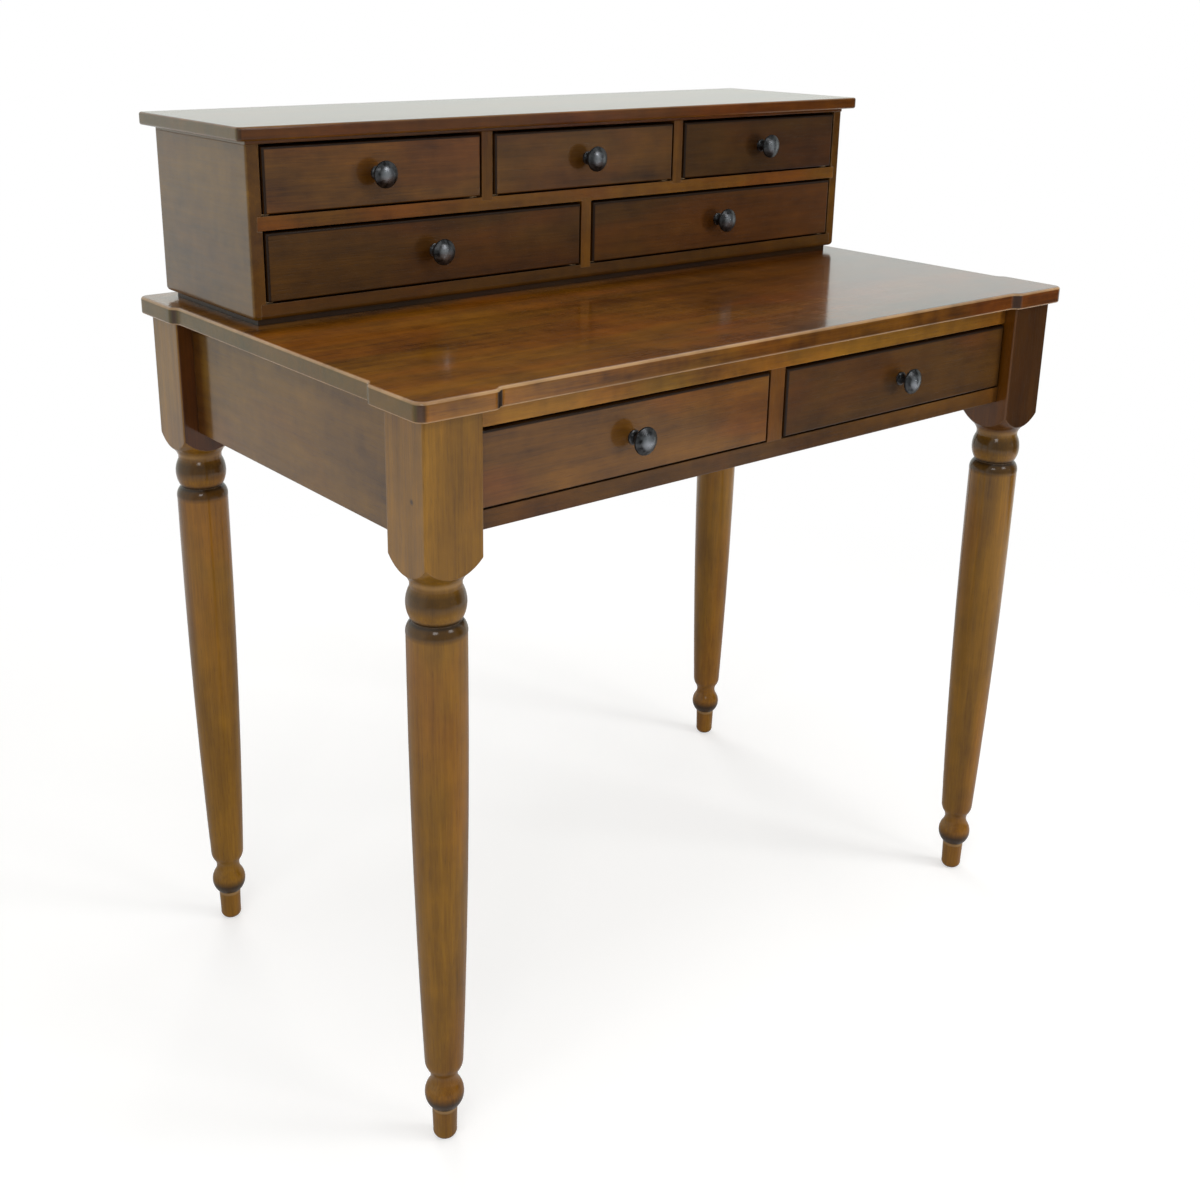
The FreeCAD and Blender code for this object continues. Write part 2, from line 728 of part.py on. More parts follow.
def make_plinth():
    body = new_body("gallery_plinth", gallery_place)
    depth = ("dims.plinth_inset", "dims.gallery_depth - dims.plinth_inset")
    add_box(body, around(f"{gallery_half} - dims.plinth_inset"), depth, ("0", gallery_low))
    bore(body, gallery_screws_at, shank_room, ("0", gallery_low))


def make_gallery_side(label, side):
    body = new_body(label, gallery_place)
    depth = ("0", "dims.gallery_depth")
    add_box(body, on_side(side, gallery_inner, gallery_half), depth, (gallery_low, gallery_ceiling))
    outer = on_side(side, gallery_inner, gallery_half)[1 if side > 0 else 0]
    low_lines = [{"x": outer, "z": gallery_low}, {"y": "0", "z": gallery_low}]
    low_lines.append({"y": "dims.gallery_depth", "z": gallery_low})
    round_edges(body, "dims.gallery_side_round", {"x": outer, "y": "0"})
    round_edges(body, "dims.gallery_low_round", *low_lines)
    housing_x = on_side(side, gallery_inner, f"{gallery_inner} + dims.housing_depth")
    board_depth = ("0", gallery_back_face)
    cut_box(body, housing_x, board_depth, (gallery_low, lower_floor))
    cut_box(body, housing_x, board_depth, (shelf_low, upper_floor))
    rabbet_x = on_side(side, gallery_inner, f"{gallery_inner} + dims.gallery_back_rabbet")
    cut_box(body, rabbet_x, (gallery_back_face, "dims.gallery_depth"), (gallery_low, gallery_ceiling))


def make_gallery_boards():
    wide = around(f"{gallery_inner} + dims.housing_depth")
    depth = ("0", gallery_back_face)
    lower_housing = around("dims.gallery_board / 2")
    upper_housings = [(around("dims.gallery_board / 2", f"{side} * {divider_x}"), depth) for side in (1, -1)]

    bottom = new_body("gallery_bottom", gallery_place)
    add_box(bottom, wide, depth, (gallery_low, lower_floor))
    round_edges(bottom, "dims.gallery_low_round", {"y": "0", "z": gallery_low})
    cut_box(bottom, lower_housing, depth, (f"{lower_floor} - dims.divider_housing", lower_floor))
    bore(bottom, gallery_screws_at, shank_room, (gallery_low, f"{gallery_screw_tip} + dims.joint_fit"))

    shelf = new_body("gallery_shelf", gallery_place)
    add_box(shelf, wide, depth, (shelf_low, upper_floor))
    cut_box(shelf, lower_housing, depth, (shelf_low, f"{shelf_low} + dims.divider_housing"))
    cut_boxes(shelf, upper_housings, (f"{upper_floor} - dims.divider_housing", upper_floor))

    lower = new_body("gallery_divider_lower", gallery_place)
    lower_z = (f"{lower_floor} - dims.divider_housing", f"{shelf_low} + dims.divider_housing")
    add_box(lower, lower_housing, depth, lower_z)
    upper = new_body("gallery_dividers_upper", gallery_place)
    add_boxes(upper, upper_housings, (f"{upper_floor} - dims.divider_housing", gallery_ceiling))


def make_gallery_top():
    body = new_body("gallery_top", gallery_place)
    lip_high = f"({gallery_ceiling} + dims.gallery_lip)"
    top_high = f"({lip_high} + dims.gallery_top_thick)"
    over_x = f"({gallery_half} + dims.gallery_top_overhang)"
    over_y = ("(-dims.gallery_top_overhang)", "(dims.gallery_depth + dims.gallery_top_overhang)")
    add_box(body, around(over_x), over_y, (lip_high, top_high))
    corner_lines = [{"x": f"{sign}{over_x}", "y": y} for sign in ("", "-") for y in over_y]
    round_edges(body, "dims.gallery_top_corner", *corner_lines)
    round_edges(body, "dims.gallery_top_edge", {"z": top_high}, {"z": lip_high})
    add_box(body, around(gallery_half), ("0", "dims.gallery_depth"), (gallery_ceiling, lip_high))


def make_gallery_back():
    body = new_body("gallery_back", gallery_place)
    wide = around(f"{gallery_inner} + dims.gallery_back_rabbet - dims.joint_fit")
    add_box(body, wide, (gallery_back_face, "dims.gallery_depth"), (gallery_low, gallery_ceiling))


# ---- drawers: x = 0 in the middle, y = 0 on the front face, z = 0 at the front's lower edge ----

def knob_outline():
    # half section, radius across, with the desk's front towards minus
    edge_reach = "(dims.knob_rim_reach + dims.knob_rim_thick)"
    crown = "dims.knob_reach - dims.knob_face_reach"
    dome_rise = f"(({crown}) / 4)"
    return [
        ("0", "dims.stud_length"),
        ("0", "-dims.knob_reach", dome_rise),
        ("dims.knob_face_radius", "-dims.knob_face_reach"),
        ("dims.knob_rim_radius", f"-{edge_reach}", "dims.knob_edge_swell"),
        ("dims.knob_rim_radius", "-dims.knob_rim_reach", "-dims.knob_back_hollow"),
        ("dims.knob_neck_radius", "-dims.knob_neck_reach", "-dims.knob_neck_hollow"),
        ("dims.knob_seat_radius", "-dims.knob_seat_thick"),
        ("dims.knob_seat_radius", "0"),
        ("dims.stud_radius", "0"),
        ("dims.stud_radius", "dims.stud_length"),
    ]


def make_drawer(name, place, width, height, depth, stock):
    front_thick = f"dims.{stock}_front_thick"
    side_thick = f"dims.{stock}_side_thick"
    back_thick = f"dims.{stock}_back_thick"
    panel_thick = f"dims.{stock}_panel_thick"
    half = f"(({width}) / 2)"
    inner = f"({half} - {side_thick})"
    side_z = ("dims.slide_gap - dims.gap_low", f"(({height}) - dims.side_step)")
    panel_z = ("dims.panel_height", f"(dims.panel_height + {panel_thick})")
    groove = (f"{panel_z[0]} - dims.joint_fit", f"{panel_z[1]} + dims.joint_fit")
    back_end = f"(({depth}) - dims.back_inset)"
    back_y = (f"({back_end} - {back_thick})", back_end)
    back_high = f"{side_z[1]} - dims.back_step"
    lap_y = ("dims.front_lap", front_thick)

    front = new_body(f"{name}_front", place)
    add_box(front, around(half), ("0", front_thick), ("0", height))
    round_edges(front, "dims.front_round", {"y": "0"})
    laps = [((inner, half), lap_y), (mirrored(inner, half), lap_y)]
    cut_boxes(front, laps, ("0", f"{side_z[1]} + dims.joint_fit"))
    front_groove_y = (f"{front_thick} - dims.panel_groove", front_thick)
    cut_box(front, around(inner), front_groove_y, groove)
    hole = new_sketch(front, "XZ_Plane", f"-({front_thick})")
    draw_circle(hole, "0", f"({height}) / 2", "dims.stud_radius + dims.joint_fit")
    before = front.Tip.Shape.Volume
    drilled = feature(front, "Pocket", hole, front_thick)
    drilled.Reversed = True
    doc.recompute()
    check_cut(front, before)

    sides = new_body(f"{name}_sides", place)
    add_box(sides, (inner, half), ("dims.front_lap", depth), side_z)
    side_groove_x = (inner, f"{inner} + dims.panel_groove")
    cut_box(sides, side_groove_x, ("dims.front_lap", depth), groove)
    back_housing_x = (inner, f"{inner} + dims.back_housing")
    cut_box(sides, back_housing_x, back_y, (panel_z[1], side_z[1]))
    mirror_x(sides)

    back = new_body(f"{name}_back", place)
    add_box(back, around(f"{inner} + dims.back_housing - dims.joint_fit"), back_y, (panel_z[1], back_high))

    bottom = new_body(f"{name}_bottom", place)
    panel_y = (f"{front_thick} - dims.panel_groove + dims.joint_fit", back_end)
    add_box(bottom, around(f"{inner} + dims.panel_groove - dims.joint_fit"), panel_y, panel_z)

    knob_place = (place[0], place[1], f"{place[2]} + ({height}) / 2")
    knob = new_body(f"{name}_knob", knob_place)
    turn(knob, "XY_Plane", knob_outline())


def make_desk_drawers():
    width = f"({post_inner_x} - dims.stile_width / 2 - 2 * dims.gap_side)"
    height = "(dims.desk_opening - dims.gap_low - dims.gap_top)"
    face_y = f"({rail_front} - dims.drawer_proud)"
    depth = f"({back_inner} - dims.stop_gap - {face_y})"
    for label, side in (("drawer_left", -1), ("drawer_right", 1)):
        centre = f"{side} * ({post_inner_x} + dims.stile_width / 2) / 2"
        make_drawer(label, (centre, face_y, f"{opening_low} + dims.gap_low"), width, height, depth, "desk")


def make_gallery_drawers():
    depth = f"({gallery_back_face} - dims.stop_gap + dims.drawer_proud)"
    face_y = f"{gallery_place[1]} - dims.drawer_proud"
    upper_z = f"dims.desk_height + {upper_floor} + dims.gap_low"
    lower_z = f"dims.desk_height + {lower_floor} + dims.gap_low"
    upper_width = f"({upper_bay} - 2 * dims.gap_side)"
    lower_width = f"({lower_bay} - 2 * dims.gap_side)"
    upper_height = "(dims.gallery_upper_opening - dims.gap_low - dims.gap_top)"
    lower_height = "(dims.gallery_lower_opening - dims.gap_low - dims.gap_top)"
    upper_step = f"({upper_bay} + dims.gallery_board)"
    lower_step = f"(({lower_bay} + dims.gallery_board) / 2)"
    for label, column in (("upper_left", -1), ("upper_middle", 0), ("upper_right", 1)):
        place = (f"{column} * {upper_step}", face_y, upper_z)
        make_drawer(f"gallery_{label}", place, upper_width, upper_height, depth, "small")
    for label, column in (("lower_left", -1), ("lower_right", 1)):
        place = (f"{column} * {lower_step}", face_y, lower_z)
        make_drawer(f"gallery_{label}", place, lower_width, lower_height, depth, "small")


# ---- the whole desk ----

make_leg("leg_front_left", -1, -1)
make_leg("leg_front_right", 1, -1)
make_leg("leg_back_left", -1, 1)
make_leg("leg_back_right", 1, 1)
make_side_apron("side_apron_left", -1)
make_side_apron("side_apron_right", 1)
make_back_apron()
make_front_frame()
make_desk_top()
make_runners()
make_kickers()
make_buttons()
make_screws("top_screws", button_centres + rail_screws, head_low, head_high, screw_tip)
make_plinth()
make_gallery_side("gallery_side_left", -1)
make_gallery_side("gallery_side_right", 1)
make_gallery_boards()
make_gallery_top()
make_gallery_back()
make_screws(
    "gallery_screws", gallery_screws_at, gallery_head_low, gallery_head_high, gallery_screw_tip, gallery_place
)
make_desk_drawers()
make_gallery_drawers()

doc.recompute()
for item in doc.Objects:
    if "Invalid" in item.State or "Error" in item.State:
        raise RuntimeError(f"{item.Label} failed: {item.State}")
for body in sub_parts:
    if body.Shape.isNull() or not body.Shape.isValid():
        raise RuntimeError(f"{body.Label} has no valid shape")

os.makedirs("parts", exist_ok=True)
for body in sub_parts:
    body.Shape.exportStep(os.path.join("parts", f"{body.Label}.step"))
print(f"{len(sub_parts)} sub-parts written")
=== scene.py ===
import math

import bmesh
import bpy
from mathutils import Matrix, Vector


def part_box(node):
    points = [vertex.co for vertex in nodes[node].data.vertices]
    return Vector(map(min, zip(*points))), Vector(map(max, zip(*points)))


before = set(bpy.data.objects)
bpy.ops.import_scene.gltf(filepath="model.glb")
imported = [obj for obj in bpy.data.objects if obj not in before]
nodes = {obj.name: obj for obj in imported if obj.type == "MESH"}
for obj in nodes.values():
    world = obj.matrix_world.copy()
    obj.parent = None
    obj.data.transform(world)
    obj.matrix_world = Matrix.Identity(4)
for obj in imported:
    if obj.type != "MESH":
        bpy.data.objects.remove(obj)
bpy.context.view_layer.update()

print("frame loaded,", len(nodes), "pieces from the workshop drawing")


# small helpers for node trees

def newFinish(name):
    finish = bpy.data.materials.new(name)
    finish.use_nodes = True
    finish.node_tree.nodes.clear()
    return finish, finish.node_tree


def put(tree, kind, inputs=None, **settings):
    node = tree.nodes.new(kind)
    for key, value in settings.items():
        setattr(node, key, value)
    for socket, value in (inputs or {}).items():
        if isinstance(value, bpy.types.NodeSocket):
            tree.links.new(value, node.inputs[socket])
        else:
            node.inputs[socket].default_value = value
    return node


def sums(tree, operation, first, second=None, third=None):
    # one step of arithmetic on plain numbers
    given = {0: first}
    if second is not None:
        given[1] = second
    if third is not None:
        given[2] = third
    return put(tree, "ShaderNodeMath", given, operation=operation).outputs[0]


def times(tree, first, second):
    return sums(tree, "MULTIPLY", first, second)


def vectors(tree, operation, first, second):
    return put(tree, "ShaderNodeVectorMath", {0: first, 1: second}, operation=operation).outputs


def split(tree, vector):
    return put(tree, "ShaderNodeSeparateXYZ", {0: vector}).outputs


def spread(tree, value, fromLow, fromHigh, toLow=0.0, toHigh=1.0):
    # maps one range of numbers onto another and stops at its ends
    return put(tree, "ShaderNodeMapRange", {0: value, 1: fromLow, 2: fromHigh, 3: toLow, 4: toHigh}).outputs[0]


def blendColour(tree, share, first, second, way="MIX"):
    node = put(tree, "ShaderNodeMix", data_type="RGBA", blend_type=way, clamp_result=False)
    for socket, value in ((node.inputs[0], share), (node.inputs[6], first), (node.inputs[7], second)):
        if isinstance(value, bpy.types.NodeSocket):
            tree.links.new(value, socket)
        else:
            socket.default_value = value if isinstance(value, float) else (*value, 1.0)
    return node.outputs[2]


patternStep = 3.71  # any odd step, so that no two pieces share a pattern


def grainCoordinates(tree, along):
    # the frame's own coordinates, turned so that the first one runs with the fibres
    at = put(tree, "ShaderNodeTexCoord").outputs["Object"]
    parts = split(tree, at)
    order = {"X": (0, 1, 2), "Y": (1, 2, 0), "Z": (2, 0, 1)}[along]
    turned = put(tree, "ShaderNodeCombineXYZ", {i: parts[k] for i, k in enumerate(order)}).outputs[0]
    piece = put(tree, "ShaderNodeObjectInfo").outputs["Object Index"]
    return at, turned, times(tree, piece, patternStep)


def fibreNoise(tree, turned, piece, alongScale, acrossScale, detail, roughness, bend=0.0):
    stretched = vectors(tree, "MULTIPLY", turned, (alongScale, acrossScale, acrossScale))[0]
    return put(tree, "ShaderNodeTexNoise",
               {"Vector": stretched, "W": piece, "Scale": 1.0, "Detail": detail, "Roughness": roughness,
                "Distortion": bend}, noise_dimensions="4D").outputs["Fac"]


# stained and lacquered wood

woodLayers = {  # scale along and across the fibres, detail, roughness, bend
    "broad": (0.9, 6.5, 1.5, 0.45, 0.25), "blotch": (3.6, 8.0, 2.0, 0.55), "streaks": (4.5, 120.0, 3.0, 0.6),
    "flames": (75.0, 26.0, 2.0, 0.5), "fibre": (18.0, 620.0, 2.0, 0.65), "poreDots": (60.0, 1500.0, 1.0, 0.5),
    "patches": (5.0, 14.0, 2.0, 0.5, 0.4), "waves": (5.0, 16.0, 2.0, 0.5),
}
turns = {  # how far a surface is turned to one side where an effect starts and where it is full
    "sitter": (-0.8, -0.95), "boardEnd": (0.8, 0.95), "roundCorner": (0.12, 0.36), "arrisStart": (0.10, 0.30),
    "arrisEnd": (0.985, 0.90), "wornAndLit": (0.985, 0.80), "upright": (0.95, 0.7),
}
reaches = {  # the same on the scale of a noise, of the openness around a point, or in metres along the desk
    "poreDots": (0.60, 0.72), "patches": (0.46, 0.62), "wornAndLitMottle": (0.35, 0.6), "fibre": (0.3, 0.7),
    "gap": (0.15, 0.6), "wornAndLitOpening": (0.5, 0.9), "rightHalfShade": (-0.3, 0.3),
}
relief = {"grain": 0.4, "grainHeight": 0.0004, "poreDepth": -0.8, "coatHeight": 0.004, "coatFibre": 0.12}
edgeSamples = 4
frontLine = {"width": (0.0029, 0.0021), "depth": 0.97, "round": (0.96, 0.88), "roundDepth": 0.7,
             "ahead": (0.02, 0.2)}
notchSize = (0.0050, 0.0036)
solidShare = 0.3  # the inner part of a band or knot that has its full depth
blockFoot = (0.586, 0.596)  # height at which the turned leg becomes the square block


def layeredTone(tree, layers, wood):
    rings = sums(tree, "SINE", times(tree, layers["broad"], wood["ringDensity"]))
    rings = sums(tree, "POWER", spread(tree, rings, -1.0, 1.0), wood["ringSharpness"])
    middle = 0.5 + wood["rings"] * 0.4  # makes up for what the rings darken
    tone = sums(tree, "MULTIPLY_ADD", rings, -wood["rings"], middle)
    for layer in ("mottle", "blotch", "streaks", "flames", "fibre"):
        tone = sums(tree, "MULTIPLY_ADD", sums(tree, "SUBTRACT", layers[layer], 0.5), wood[layer], tone)
    return spread(tree, tone, 0.0, 1.0)


def turnedBands(tree, colour, at, height, wood):
    # bands of stain colour and lighter colour on the turnings: stain gathers in the grooves, the dark bands on the
    # shoulder and upper ball are painted reflection, and the light band under the block is a painted highlight
    for middle, half, depth, shade in wood["bands"]:
        away = sums(tree, "ABSOLUTE", sums(tree, "SUBTRACT", height, middle))
        colour = blendColour(tree, spread(tree, away, half, half * solidShare, 0.0, depth), colour, wood[shade])
    # painted shade: the square block can take a darker tint
    block = spread(tree, height, *blockFoot)
    colour = blendColour(tree, block, colour, wood["blockShade"], "MULTIPLY")
    for spot, radius, depth in wood["knots"]:
        off = vectors(tree, "DISTANCE", at, spot)["Value"]
        colour = blendColour(tree, spread(tree, off, radius, radius * solidShare, 0.0, depth), colour, wood["stain"])
    return colour, block


def gapShadeLine(tree, slope, place, edges):
    # painted shade: a dark line around a drawer front, wider at its left and upper edges, where the gap lies in
    # shadow
    left, top = edges
    inward = sums(tree, "MINIMUM", sums(tree, "SUBTRACT", place[0], left), sums(tree, "SUBTRACT", top, place[2]))
    ahead = times(tree, slope[1], -1.0)
    line = sums(tree, "MAXIMUM", spread(tree, ahead, *frontLine["round"], 0.0, frontLine["roundDepth"]),
                spread(tree, inward, *frontLine["width"], 0.0, frontLine["depth"]))
    return times(tree, line, spread(tree, ahead, *frontLine["ahead"]))


def notchShade(tree, at, tilt, notch):
    # painted shade in the small step beside the front left ear
    flat = vectors(tree, "MULTIPLY", at, (1, 1, 0))[0]
    off = vectors(tree, "DISTANCE", flat, notch)["Value"]
    return times(tree, spread(tree, off, *notchSize), spread(tree, tilt, *turns["upright"]))


def lacqueredWood(name, wood):
    finish, tree = newFinish(name)
    at, turned, piece = grainCoordinates(tree, wood["along"])
    layers = {layer: fibreNoise(tree, turned, piece, *size) for layer, size in woodLayers.items()}
    layers["mottle"] = fibreNoise(tree, turned, piece, *wood["mottleSize"])
    fibre = layers["fibre"]
    pores = spread(tree, layers["poreDots"], *reaches["poreDots"])
    dark, light = (tuple(c * wood["tone"] for c in wood[k]) for k in ("dark", "light"))
    colour = blendColour(tree, layeredTone(tree, layers, wood), dark, light)
    # the stain takes redder in some patches
    patches = spread(tree, layers["patches"], *reaches["patches"])
    colour = blendColour(tree, times(tree, patches, wood["redness"]), colour, wood["redder"], "MULTIPLY")
    colour = blendColour(tree, times(tree, pores, wood["pores"]), colour, wood["poreColour"])

    facing = put(tree, "ShaderNodeNewGeometry").outputs["Normal"]
    slope = split(tree, facing)
    place = split(tree, at)
    tilt = sums(tree, "ABSOLUTE", slope[2])
    frontShadingMask = spread(tree, slope[1], *turns["sitter"])
    if "bands" in wood:
        colour, block = turnedBands(tree, colour, at, place[2], wood)
        frontShadingMask = times(tree, frontShadingMask, block)
    # painted shade: faces turned to the front take a tint that stands for how light falls on them
    colour = blendColour(tree, frontShadingMask, colour, wood["frontShading"], "MULTIPLY")
    if "rightShade" in wood:  # painted shade: the right half is darker, where less light falls
        rightHalfShade = spread(tree, place[0], *reaches["rightHalfShade"])
        colour = blendColour(tree, rightHalfShade, colour, wood["rightShade"], "MULTIPLY")
    if "darkEnd" in wood:  # painted shade: darker beside the back leg, in the corner the post makes with the apron
        legShade = spread(tree, place[1], *wood["darkEnd"])
        colour = blendColour(tree, legShade, colour, wood["darkEndTint"], "MULTIPLY")

    # painted shade: the colour darkens deep in the narrow gaps and inner corners
    openness = put(tree, "ShaderNodeAmbientOcclusion", {"Distance": wood["gapDepth"]}, samples=edgeSamples)
    openness = openness.outputs["AO"]
    gapShadeShare = spread(tree, openness, *reaches["gap"], wood["gapShade"], 0.0)
    colour = blendColour(tree, gapShadeShare, colour, wood["stain"])
    # edges show a little lighter, partly wear and partly a painted highlight along the arrises, and every edge is
    # slightly eased
    bevelled = put(tree, "ShaderNodeBevel", {"Radius": wood["edgeRadius"]}, samples=edgeSamples).outputs[0]
    turnedAway = vectors(tree, "DOT_PRODUCT", bevelled, facing)["Value"]
    arrisWornAndLit = times(tree, spread(tree, tilt, *turns["arrisStart"]), spread(tree, tilt, *turns["arrisEnd"]))
    rubbed = sums(tree, "MAXIMUM", spread(tree, turnedAway, *turns["wornAndLit"]), times(tree, arrisWornAndLit, wood["arrisWornAndLit"]))
    rubbed = times(tree, rubbed, spread(tree, layers["mottle"], *reaches["wornAndLitMottle"], wood["leastWornAndLit"], 1.0))
    rubbed = times(tree, rubbed, spread(tree, openness, *reaches["wornAndLitOpening"], 0.0, wood["rubbed"]))
    # the rounded corners are darker: end grain that drinks more stain, and painted reflection of the dark room
    cornerStainAndShade = sums(tree, "ABSOLUTE", times(tree, slope[0], slope[1]))
    cornerStainAndShade = spread(tree, cornerStainAndShade, *turns["roundCorner"], 0.0, wood["endGrainAndShade"])
    colour = blendColour(tree, cornerStainAndShade, colour, wood["stain"])
    sideways = sums(tree, "ABSOLUTE", slope[0])
    boardEnd = spread(tree, sideways, *turns["boardEnd"], 0.0, wood["boardEnd"])
    colour = blendColour(tree, boardEnd, colour, wood["endColour"])

    coat = wood["coat"]
    if "endCoat" in wood:  # the ends of the board have sunk and shine less
        coat = spread(tree, boardEnd, 0.0, wood["boardEnd"], coat, wood["endCoat"])
    paintedShades = []
    if "edges" in wood:
        paintedShades.append(gapShadeLine(tree, slope, place, wood["edges"]))
    if "notch" in wood:
        paintedShades.append(notchShade(tree, at, tilt, wood["notch"]))
    for share in paintedShades:
        colour = blendColour(tree, share, colour, wood["stain"])
        coat = spread(tree, share, 0.0, 1.0, coat, 0.0)
    colour = blendColour(tree, rubbed, colour, wood["wornAndLit"])

    rough = spread(tree, fibre, *reaches["fibre"], *wood["roughness"])
    grain = sums(tree, "MULTIPLY_ADD", pores, relief["poreDepth"], fibre)
    grainBump = put(tree, "ShaderNodeBump", {"Strength": relief["grain"], "Distance": relief["grainHeight"],
                                            "Normal": bevelled, "Height": grain}).outputs[0]
    skin = sums(tree, "MULTIPLY_ADD", fibre, relief["coatFibre"], layers["waves"])
    coatBump = put(tree, "ShaderNodeBump", {"Strength": wood["skin"], "Distance": relief["coatHeight"],
                                            "Normal": bevelled, "Height": skin}).outputs[0]
    shader = put(tree, "ShaderNodeBsdfPrincipled",
                 {"Base Color": colour, "Roughness": rough, "Normal": grainBump, "Specular IOR Level": wood["sheen"],
                  "Coat Weight": coat, "Coat Roughness": wood["gloss"], "Coat IOR": wood["coatIor"],
                  "Coat Normal": coatBump})
    put(tree, "ShaderNodeOutputMaterial", {"Surface": shader.outputs[0]})
    return finish


caseWood = {
    "along": "X", "tone": 1.0, "light": (0.215, 0.083, 0.0035), "dark": (0.034, 0.0105, 0.0007),
    "wornAndLit": (0.46, 0.28, 0.13), "redder": (1.15, 0.82, 0.8), "redness": 0.7, "poreColour": (0.016, 0.006, 0.001),
    "ringDensity": 34.0, "rings": 0.16, "ringSharpness": 1.6, "mottleSize": (26.0, 52.0, 3.0, 0.6), "mottle": 0.75,
    "blotch": 0.6, "streaks": 0.55, "flames": 0.35, "fibre": 0.36, "pores": 0.3, "edgeRadius": 0.0022,
    "rubbed": 0.25, "leastWornAndLit": 0.55, "roughness": (0.40, 0.52), "gloss": 0.12, "skin": 0.05, "coat": 0.9,
    "coatIor": 1.5, "stain": (0.010, 0.0035, 0.0005), "gapDepth": 0.006, "gapShade": 0.9,
    "endColour": (0.066, 0.048, 0.004), "sheen": 0.10, "frontShading": (1.0, 1.0, 1.0), "arrisWornAndLit": 0.0,
    "endGrainAndShade": 0.0, "boardEnd": 0.0,
}
topWood = {
    **caseWood, "tone": 1.44, "mottleSize": (17.0, 30.0, 3.0, 0.6), "mottle": 1.15, "blotch": 0.85, "streaks": 0.85,
    "fibre": 0.5, "redness": 0.65, "rubbed": 0.9, "edgeRadius": 0.0024, "arrisWornAndLit": 0.85, "endGrainAndShade": 0.8, "coat": 0.95,
    # painted shade on the front edge and the right half
    "frontShading": (1.0, 1.13, 1.0), "rightShade": (0.6, 0.45, 0.35), "boardEnd": 0.7, "endCoat": 0.6,
    "notch": (-0.353, -0.269, 0.0),
}
boardWood = {**caseWood, "boardEnd": 0.6, "coat": 0.85, "endGrainAndShade": 0.7, "rubbed": 0.15,
             "frontShading": (0.55, 0.42, 0.38)}
sideWood = {**caseWood, "along": "Y", "light": (0.195, 0.092, 0.0035), "redness": 0.25, "coat": 0.82,
            "frontShading": (0.65, 0.55, 0.5)}
# painted shade on the aprons beside the back legs
apronWood = {**sideWood, "coat": 0.6, "darkEnd": (0.176, 0.188), "darkEndTint": (0.5, 0.38, 0.3)}
frontWood = {**caseWood, "rubbed": 0.0, "edgeRadius": 0.0012, "sheen": 0.3, "mottleSize": (19.0, 36.0, 3.0, 0.6),
             "mottle": 1.0, "blotch": 0.75, "flames": 0.2, "fibre": 0.5}
railWood = {**caseWood, "coat": 0.45, "rubbed": 0.15, "edgeRadius": 0.0008, "tone": 0.80, "sheen": 0.25}
legWood = {
    **caseWood, "along": "Z", "light": (0.285, 0.130, 0.005), "dark": (0.078, 0.032, 0.0014), "ringDensity": 46.0,
    "rings": 0.2, "mottle": 0.55, "streaks": 0.8, "flames": 0.15, "fibre": 0.6, "skin": 0.04, "coat": 0.6,
    "rubbed": 0.45, "edgeRadius": 0.0015, "redness": 0.35,
    "stain": (0.020, 0.009, 0.002), "lightBand": (0.34, 0.20, 0.075), "blockShade": (1.0, 1.0, 1.0),
    # middle height, half width, depth and colour of each band; the dark bands at 0.5455 and 0.5755 are painted
    # reflection, the light band at 0.5895 a painted highlight
    "bands": [(0.5525, 0.0050, 0.95, "stain"), (0.5455, 0.0080, 0.72, "stain"), (0.5755, 0.0135, 0.70, "stain"),
              (0.5895, 0.0032, 0.4, "lightBand"), (0.0445, 0.0125, 0.92, "stain"), (0.0360, 0.003, 0.6, "lightBand")],
    "knots": [((-0.425, -0.243, 0.668), 0.0035, 0.85)],
}
# the front right leg: its block and front faces darker as painted shade
shadedLegWood = {**legWood, "blockShade": (0.5, 0.36, 0.25), "frontShading": (0.5, 0.5, 0.5)}
# painted shade on the front faces of the back legs
backLegWood = {**legWood, "frontShading": (0.35, 0.22, 0.15)}
# the upper rail: lighter as painted light under the top's overhang, greyer on its front as painted reflection, darker
# on its right half as painted shade
upperRailWood = {**railWood, "tone": 1.70, "frontShading": (1.0, 1.25, 1.2), "rightShade": (0.8, 0.7, 0.65)}

railFinish = lacqueredWood("walnutStainRail", railWood)
uprightFinish = lacqueredWood("walnutStainUpright", {**railWood, "along": "Z", "tone": 0.74})
sideFinish = lacqueredWood("walnutStainSide", sideWood)
apronFinish = lacqueredWood("walnutStainApron", apronWood)
backLegFinish = lacqueredWood("turnedLegStainBack", backLegWood)
finishes = {
    "back_apron": lacqueredWood("walnutStain", caseWood),
    "desk_top": lacqueredWood("walnutStainTop", topWood),
    "front_rail_upper": lacqueredWood("walnutStainUpperRail", upperRailWood),
    "front_rail_lower": lacqueredWood("walnutStainLowerRail", {**railWood, "tone": 0.62, "coat": 0.25}),
    "front_centre_stile": uprightFinish, "side_apron_left": apronFinish, "side_apron_right": apronFinish,
    "gallery_top": lacqueredWood("walnutStainBoard", boardWood),
    "gallery_bottom": lacqueredWood("walnutStainBottomRail", {**railWood, "tone": 0.42}),
    # the plinth nearly black: painted shade in the gap under the gallery
    "gallery_plinth": lacqueredWood("walnutStainPlinthShade", {**railWood, "tone": 0.16, "rubbed": 0.0}),
    "gallery_shelf": railFinish, "gallery_side_left": sideFinish, "gallery_side_right": sideFinish,
    "gallery_dividers_upper": uprightFinish, "gallery_divider_lower": uprightFinish,
    "leg_front_left": lacqueredWood("turnedLegStain", legWood),
    "leg_front_right": lacqueredWood("turnedLegStainShaded", shadedLegWood),
    "leg_back_left": backLegFinish, "leg_back_right": backLegFinish,
}
